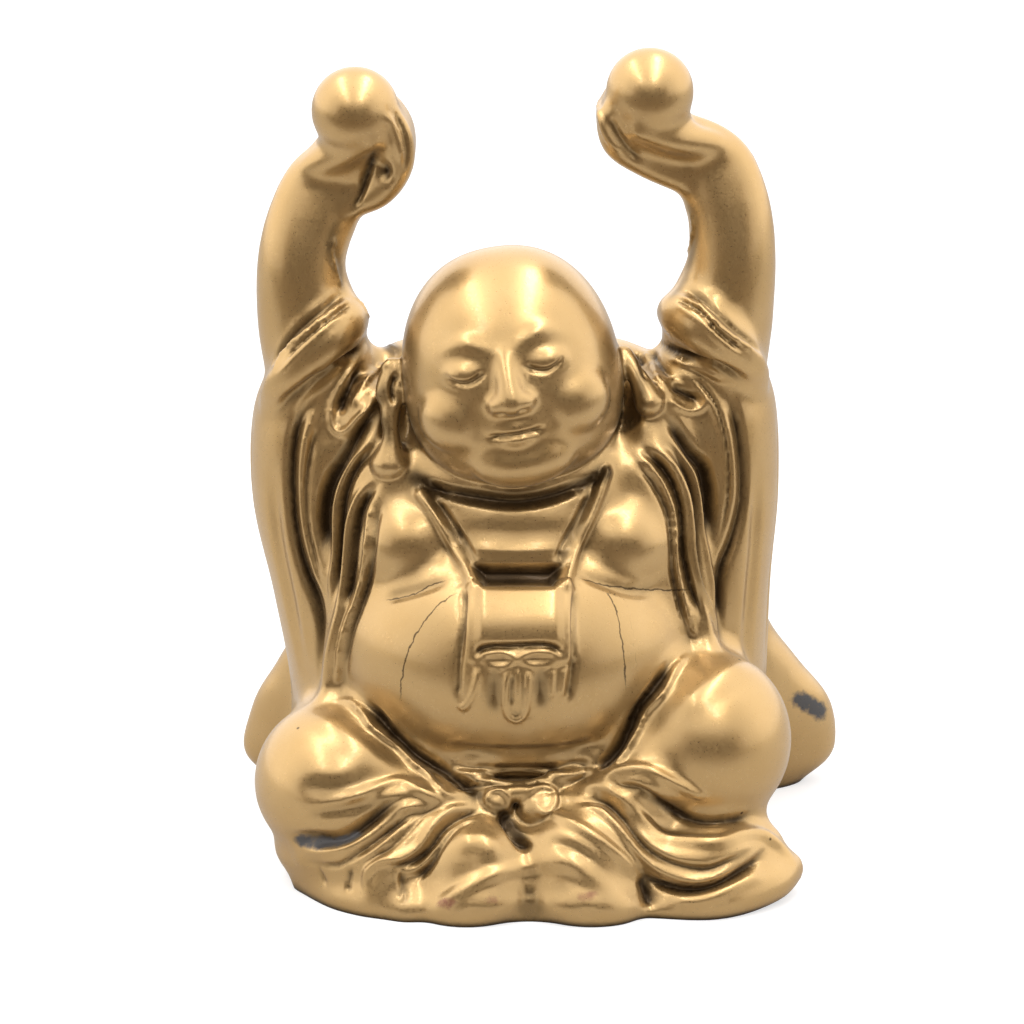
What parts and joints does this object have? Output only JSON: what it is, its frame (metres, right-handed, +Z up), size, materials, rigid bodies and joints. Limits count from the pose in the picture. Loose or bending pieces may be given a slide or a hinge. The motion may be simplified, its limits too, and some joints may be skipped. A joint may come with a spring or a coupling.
{
  "type": "wealth buddha statuette",
  "caption": "Gold-painted cast resin statuette of a stout bald figure seated cross-legged in an open robe, arms raised with a ball on each palm; a shelf or desk ornament.",
  "frame": {"origin": "on the floor, at the middle of the figure's bounding box", "axes": "+Z up; the figure faces -Y and its own right hand is on the -X side"},
  "size_m": [0.0579, 0.0456, 0.0749],
  "materials": {
    "gold_paint": "metallic gold paint on cast resin, semi-gloss, darkened in the recesses"
  },
  "bodies": {
    "root": {"statuette": "gold_paint"}
  },
  "joints": []
}
